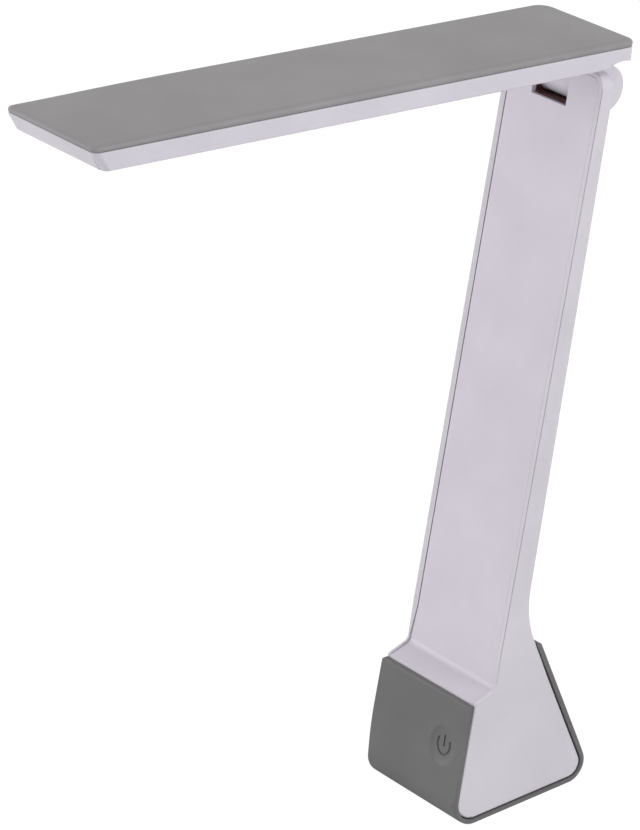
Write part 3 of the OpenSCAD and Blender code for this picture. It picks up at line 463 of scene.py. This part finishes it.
def sign_cutter():
    """An open ring and a bar, which reach half a millimetre into the dish's floor."""
    half = SIGN_LINE / 2
    start, end = SIGN_GAP, 2 * math.pi - SIGN_GAP
    ring = sign_arc(-half, start, end) + sign_arc(half, end, start)
    bar = [(-half, SIGN_BAR_LOW), (half, SIGN_BAR_LOW), (half, SIGN_BAR_HIGH), (-half, SIGN_BAR_HIGH)]
    bm = bmesh.new()
    for outline in (ring, bar):
        close_rings(bm, [[bm.verts.new((x * MM, y * MM, z * MM)) for x, y in outline]
                         for z in (-SIGN_DEPTH, SIGN_ABOVE)])
    return new_cutter(bm, "power_sign", ARM_PLACE @ Matrix.Translation((SIGN_X * MM, SIGN_A * MM, 0)))


# Arm: its rim slopes to the panel, whose front rolls off to a fine gap between the two

SIDE_HALF = 30.0
RIM_IN, RIM_B, RIM_FRONT_B, RIM_TOP = 28.4, 12.4, 12.5, 343
RIM_MORE, RIM_SINK = 1.35, 0.55
PANEL_HALF, PANEL_TOP, PANEL_R = 28.3, 342.6, 5.8
PANEL_GAP, PANEL_LESS, PANEL_FRONT_B = 0.1, 1.36, 12.6
ROLL_X, ROLL = 17.0, 0.5
ROLL_STRIPS = [side * x for side in (-1, 1) for x in (17, 19, 21, 22.8, 24.4, 25.8)]
LEDGE_A, FULL_A = 69, 84
FLUSH, NEAR_ARC, PAST_BEND = 0.03, 0.06, 1
GAP_TOP_Z, GAP_FRONT_B, GAP_MORE = 74, 6, 0.4
EDGE_FACING = 0.3


def arm_share(a):
    """0 at the ledge and 1 up the arm."""
    return smooth_step((a - LEDGE_A) / (FULL_A - LEDGE_A))


def inner_shift(x, a, half, top, r, move):
    """Moves a point of the rounded outline inwards."""
    corner_x, corner_a = half - r, top - r
    if abs(x) > corner_x and a > corner_a:
        dx, da = abs(x) - corner_x, a - corner_a
        share = max(0, 1 - move / math.hypot(dx, da))
        return math.copysign(corner_x + dx * share, x), corner_a + da * share
    if a > corner_a:
        return x, a - move
    return math.copysign(abs(x) - move, x), a


def on_recess_top(x, a):
    """True on the recess's outline at the arm's top."""
    dx, da = max(abs(x) - (PANEL_HALF - PANEL_R), 0), a - (PANEL_TOP - PANEL_R)
    r = PANEL_R + PANEL_GAP
    return abs(math.hypot(dx, da) - r) < NEAR_ARC


def slope_rim(mesh):
    """The rim's inner edge comes inwards and sinks towards the panel."""
    points = [arm_xab(v.co) for v in mesh.vertices]
    fronts = {(round(a, 1), round(b, 1)) for x, a, b in points if abs(x) > SIDE_HALF - NEAR}
    bend = PANEL_TOP - PANEL_R
    for v, (x, a, b) in zip(mesh.vertices, points):
        flush = abs(b - RIM_B) < FLUSH
        below = b < RIM_B and (round(a, 1), round(b, 1)) in fronts
        on_side = abs(abs(x) - RIM_IN) < NEAR and a < bend + PAST_BEND and (flush or below)
        on_top = a >= bend and flush and on_recess_top(x, a)
        if on_side or on_top:
            move = RIM_MORE * arm_share(a)
            x, new_a = inner_shift(x, a, RIM_IN, PANEL_TOP + PANEL_GAP, PANEL_R + PANEL_GAP, move)
            v.co = arm_point(x, new_a, b + RIM_SINK * arm_share(new_a))


def widen_gap(mesh):
    """The cheeks' back and lower edges draw in, which widens the shadow gap to the wrap."""
    shifts = []
    for v in mesh.vertices:
        x, a, b = arm_xab(v.co)
        facing = Vector((0, v.normal.y, v.normal.z))
        low = b > GAP_FRONT_B and v.co.z < GAP_TOP_Z * MM
        if low and abs(x) > SIDE_HALF - NEAR and facing.length > EDGE_FACING:
            shifts.append((v, -facing.normalized() * GAP_MORE * MM))
    for v, shift in shifts:
        v.co += shift


def shape_arm(mesh):
    widen_gap(mesh)
    slope_rim(mesh)


def shape_panel(mesh):
    """The panel's front rolls off towards its sides, which stay a fine gap inside the rim."""
    for v in mesh.vertices:
        x, a, b = arm_xab(v.co)
        if b < PANEL_FRONT_B:
            b += ROLL * arm_share(a) * max(0, (abs(x) - ROLL_X) / (PANEL_HALF - ROLL_X)) ** 2
        in_corner = a > PANEL_TOP - PANEL_R and abs(x) > PANEL_HALF - PANEL_R
        if abs(x) > PANEL_HALF - NEAR or in_corner or a > PANEL_TOP - NEAR:
            x, a = inner_shift(x, a, PANEL_HALF, PANEL_TOP, PANEL_R, PANEL_LESS * arm_share(a))
        v.co = arm_point(x, a, b)


def side_edges(p, q):
    """Wide rounds along the rim's outside, narrower ones round the cheeks."""
    ends = arm_xab(p), arm_xab(q)
    if any(abs(x) < SIDE_HALF - NEAR for x, a, b in ends):
        return 0
    front = all(b < RIM_FRONT_B or a > RIM_TOP for x, a, b in ends)
    return 1.0 if front else 0.5


# A dark sheet in the slot that the head's neck folds through: painted shade for the slot's dark inside

SLOT_MIDDLE, SLOT_HALF = -1.5, 10.7
SLOT_FLOOR, SLOT_STEP, STEP_B = 325.1, 0.36, 16.4
PANEL_BACK = 15.45
DRUM_R, DRUM_TURNS = 9.2, 12
SHADE_SHEET_INSET = 0.05


def make_slot_shade_sheet():
    """Painted shade: dark walls below the drum and a dark slot floor, a hair inside the white shell."""
    step, raised = SLOT_FLOOR - SLOT_STEP, SLOT_FLOOR + SHADE_SHEET_INSET
    floor = [(step, PANEL_BACK), (step, STEP_B), (raised, STEP_B), (raised, AXIS_B)]
    last = math.asin((AXIS_B - PANEL_BACK) / DRUM_R)
    turns = [last * i / DRUM_TURNS for i in range(DRUM_TURNS + 1)]
    wall = floor + [(AXIS_A - DRUM_R * math.cos(t), AXIS_B - DRUM_R * math.sin(t)) for t in turns]
    bm = bmesh.new()
    rows = []
    for side in (-1, 1):
        x = SLOT_MIDDLE + side * (SLOT_HALF - SHADE_SHEET_INSET)
        bm.faces.new([bm.verts.new(arm_point(x, a, b)) for a, b in wall])
        rows.append([bm.verts.new(arm_point(SLOT_MIDDLE + side * SLOT_HALF, a, b)) for a, b in floor])
    for i in range(len(floor) - 1):
        bm.faces.new((rows[0][i], rows[1][i], rows[1][i + 1], rows[0][i + 1]))
    o = new_piece("slot_shade_sheet", mesh_from(bm, "slot_shade_sheet"), "stand", "cable_sheath")
    # the sheet takes the painted shade's dark red-brown, not the cable's colour
    o.data.materials[0] = materials["slot_painted_shade"]


# Head cover: a low pillow whose full round edge tucks in above the tray

HEAD_HALF, HEAD_TIP, HEAD_REAR = 29.2, -272.3, 6.3
PART_W, COVER_T = 20.6, 4.0
TUCK_IN, TUCK_UP = 0.9, 1.6
ROUND_IN, ROUND_UP = 2.6, 1.85
CROWN, CROWN_STEPS = 0.5, (1.5, 4, 8, 14, 22)
HOLLOW = ((3.2, 0.0), (3.2, 1.8))
COVER_R_TIP, COVER_R_NEAR, COVER_R_FAR, COVER_R_LEAST = 3.0, 3.6, 7.5, 0.3
SIDE_SHARES = (0.03, 0.07, 0.12, 0.18, 0.26, 0.4, 0.55, 0.7, 0.85)
TIP_DROP, TIP_EASE = 1.0, 70.0
NOSE_STEPS, PLAN_STEPS = 8, 10


def plan_side(inset, rear_r):
    """One side of the head's plan moved in, from the tip to the rear."""
    x, tip, rear = HEAD_HALF - inset, HEAD_TIP + inset, HEAD_REAR - inset
    r_tip, r_rear = max(COVER_R_TIP - inset, COVER_R_LEAST), max(rear_r - inset, COVER_R_LEAST)
    arc = quarter(PLAN_STEPS)
    start, end = tip + r_tip, rear - r_rear
    side = [(x - r_tip + r_tip * math.sin(t), start - r_tip * math.cos(t)) for t in arc]
    side += [(x, start + (end - start) * share) for share in SIDE_SHARES]
    side += [(x - r_rear + r_rear * math.cos(t), end + r_rear * math.sin(t)) for t in arc]
    return side


def cover_ring(bm, inset, height):
    """A ring as its near and its far side. Heights are less towards the free end."""
    sides = []
    for side, rear_r in ((1, COVER_R_NEAR), (-1, COVER_R_FAR)):
        verts = []
        for x, v in plan_side(inset, rear_r):
            drop = TIP_DROP * (1 - smooth_step((v - HEAD_TIP) / TIP_EASE))
            verts.append(bm.verts.new((side * x, v, PART_W + height * (1 - drop / COVER_T))))
        sides.append(verts)
    return sides


def bridge(bm, rows, others):
    """Quads between two rows of vertices."""
    for i in range(len(rows) - 1):
        bm.faces.new((rows[i], rows[i + 1], others[i + 1], others[i]))


def join_rings(bm, ring, other):
    """The band between two rings: both sides, the tip and the rear."""
    for row, next_row in zip(ring, other):
        bridge(bm, row, next_row)
    for i in (0, -1):
        bm.faces.new((ring[0][i], other[0][i], other[1][i], ring[1][i]))


def make_cover():
    arc = quarter(NOSE_STEPS)
    nose_top = TUCK_UP + ROUND_UP
    profile = [(TUCK_IN * (1 - math.sin(t)), TUCK_UP * (1 - math.cos(t))) for t in arc]
    profile += [(ROUND_IN * (1 - math.cos(t)), TUCK_UP + ROUND_UP * math.sin(t)) for t in arc[1:]]
    for d in CROWN_STEPS:
        profile.append((ROUND_IN + d, nose_top + CROWN * math.sin(math.pi / 2 * d / CROWN_STEPS[-1])))
    bm = bmesh.new()
    outside = [cover_ring(bm, *step) for step in profile]
    inside = [cover_ring(bm, *step) for step in HOLLOW]
    for ring, other in zip(outside, outside[1:]):
        join_rings(bm, ring, other)
    join_rings(bm, outside[0], inside[0])
    join_rings(bm, inside[0], inside[1])
    bridge(bm, *outside[-1])
    bridge(bm, *inside[-1])
    mesh = placed(bm, "head_cover_mesh", HEAD_PLACE)
    o = new_piece("head_cover_look", mesh, "head", SLOTS["head_cover"])
    smooth(mesh)
    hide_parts("head_cover")


# Head tray: a lip below the cover, and round upright edges at its sloped end

TRAY_IN, TRAY_MORE = 0.35, 0.3
FLARE_X, FLARE_X_EASE = 24, 3.2
FLARE_V, FLARE_V_EASE = 1.5, 3.5
TRAY_TIP, TRAY_FOOT, TRAY_FOOT_W = -271.95, -266.57, 12.5
TRAY_R_NEAR, TRAY_R_FAR, TRAY_STEPS = 3.4, 1.2, 12
HAIR, BEYOND, ABOVE = 0.02, 3, 0.5
LIP_NEAR, LIP_FLUSH = 0.7, 0.02


def widen_tray(mesh):
    """Brings the tray's outside flush with the head's plan, so that its lip shows below the cover."""
    back = HEAD_PLACE.inverted()
    for vert in mesh.vertices:
        p = back @ vert.co
        p.x += math.copysign(TRAY_MORE * smooth_step((abs(p.x) - FLARE_X) / FLARE_X_EASE), p.x)
        p.y += TRAY_MORE * smooth_step((p.y - FLARE_V) / FLARE_V_EASE)
        vert.co = HEAD_PLACE @ p


def corner_cutter(side, r):
    """What lies outside the round upright edge at one corner of the tray's sloped end."""
    x = HEAD_HALF - TRAY_IN + TRAY_MORE + HAIR
    slope = (TRAY_FOOT - TRAY_TIP) / (PART_W - TRAY_FOOT_W)
    outline = [(x - r + r * math.cos(t), r - r * math.sin(t) - HAIR) for t in quarter(TRAY_STEPS)]
    outline += [(x - r, -BEYOND), (x + BEYOND, -BEYOND), (x + BEYOND, r - HAIR)]
    bm = bmesh.new()
    rings = []
    for w in (TRAY_FOOT_W - ABOVE, PART_W + ABOVE):
        tip = TRAY_TIP + (PART_W - w) * slope
        rings.append([bm.verts.new((side * across, tip + v, w)) for across, v in outline])
    close_rings(bm, rings)
    return new_cutter(bm, "tray_corner", HEAD_PLACE)


def lip_edges(p, q):
    """The tray's outer edge at the parting line."""
    back = HEAD_PLACE.inverted()
    for v in (back @ p, back @ q):
        outer = HEAD_HALF - abs(v.x) < LIP_NEAR or v.y > HEAD_REAR - LIP_NEAR
        if abs(v.z - PART_W) > LIP_FLUSH or not outer:
            return 0
    return 1.0


# The whole lamp

def dress_nodes():
    """Gives each CAD node its slot's material."""
    for name, o in NODES.items():
        if not o.material_slots:
            o.data.materials.append(materials[SLOTS[name]])
        for slot in o.material_slots:
            slot.material = materials[SLOTS[name]]


def make_pieces():
    levels = (LEDGE_A, FULL_A)
    dressed("base_wrap", "stand", round_wrap, cutters=(dish_cutter(), sign_cutter()))
    dressed("arm_shell", "stand", shape_arm, levels, weigh=side_edges, wide=0.6, fine=0.2)
    dressed("arm_panel", "stand", shape_panel, levels, ROLL_STRIPS, fine=0.2)
    dressed("hinge_caps", "stand", fine=0.1)
    tray_corners = corner_cutter(-1, TRAY_R_FAR), corner_cutter(1, TRAY_R_NEAR)
    dressed("head_tray", "head", widen_tray, cutters=tray_corners, weigh=lip_edges, wide=0.25)
    make_cover()
    dressed("diffuser", "head", fine=0.15)
    make_slot_shade_sheet()


make_camera()
make_world()
make_floor()
make_lamps()
dress_nodes()
make_pieces()

scene.view_settings.view_transform = "Standard"
